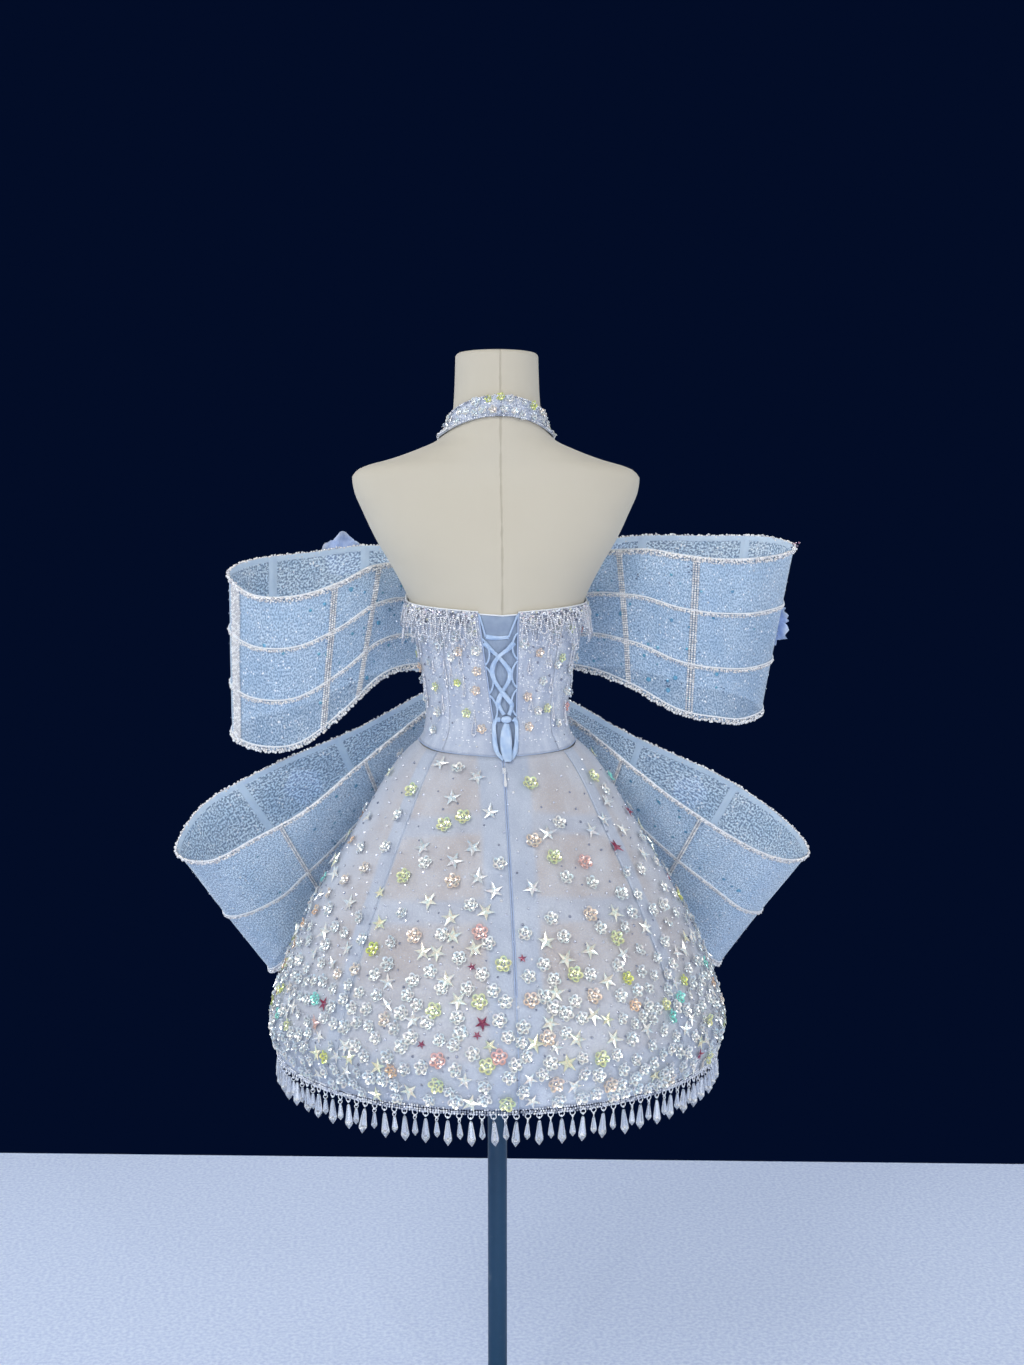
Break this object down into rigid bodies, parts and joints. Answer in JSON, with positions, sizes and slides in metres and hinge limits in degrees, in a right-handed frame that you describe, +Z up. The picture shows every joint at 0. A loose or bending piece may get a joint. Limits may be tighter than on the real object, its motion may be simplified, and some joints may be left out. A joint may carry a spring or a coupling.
{
  "type": "mini prom dress on a dress form stand",
  "caption": "Mini prom dress with a halter bodice laced at the back, a bell skirt with a crystal fringe and a big front bow, worn by a limbless dress form on a pole stand.",
  "frame": {"origin": "on the floor, at the middle of the stand's round base, under the pole", "axes": "+Z up along the pole; -Y towards the wearer's front, where the bow is; +Y towards the laced and zipped back, the side in the picture; +X towards the wearer's left"},
  "size_m": [0.9239, 0.6198, 1.546],
  "materials": {
    "linen": "matt cream linen stretched over the form, with a sewn centre-back seam",
    "steel": "blue-grey satin paint on steel tube and plate",
    "bodice_cloth": "pale blue cloth, densely covered with sequins, stones and bugle beads",
    "satin": "smooth grey-blue satin",
    "organza": "sheer periwinkle organza with glitter, sequin flowers and stars",
    "bow_mesh": "stiff sheer glitter mesh with beaded cord edges",
    "petal_cloth": "blue organza petals",
    "crystal": "clear faceted crystal drops and beads",
    "zip_metal": "pale blue enamelled zip slider and pull tab"
  },
  "bodies": {
    "root": {"form_torso": "linen", "stand_pole": "steel", "stand_flange": "steel", "stand_base": "steel", "bodice_front": "bodice_cloth", "bodice_side_left": "bodice_cloth", "bodice_side_right": "bodice_cloth", "bodice_back_left": "bodice_cloth", "bodice_back_right": "bodice_cloth", "modesty_panel": "satin", "lace_bar": "satin", "lace_ribbon_a": "satin", "lace_ribbon_b": "satin", "lace_loop_left": "satin", "lace_loop_middle": "satin", "lace_loop_right": "satin", "lace_knot": "satin", "halter_collar": "bodice_cloth", "halter_strap_left": "bodice_cloth", "halter_strap_right": "bodice_cloth", "skirt_front": "organza", "skirt_side_left": "organza", "skirt_side_right": "organza", "skirt_back_left": "organza", "skirt_back_right": "organza", "crystal_fringe": "crystal", "bodice_fringe": "crystal", "zip_slider": "zip_metal", "bow_loop_upper_left": "bow_mesh", "bow_loop_upper_right": "bow_mesh", "bow_loop_lower_left": "bow_mesh", "bow_loop_lower_right": "bow_mesh", "bow_knot": "bow_mesh", "bow_flower_1": "petal_cloth", "bow_flower_2": "petal_cloth", "bow_flower_3": "petal_cloth", "bow_flower_4": "petal_cloth", "bow_flower_5": "petal_cloth", "bow_flower_6": "petal_cloth", "bow_flower_7": "petal_cloth"},
    "zip_pull": {"zip_pull": "zip_metal"}
  },
  "joints": [
    {"name": "pull_tab_swing", "type": "hinge", "parent": "root", "child": "zip_pull", "pos_m": [0, 0.11761, 0.99163], "axis": [1, 0, 0], "range_deg": [0, 170]}
  ]
}
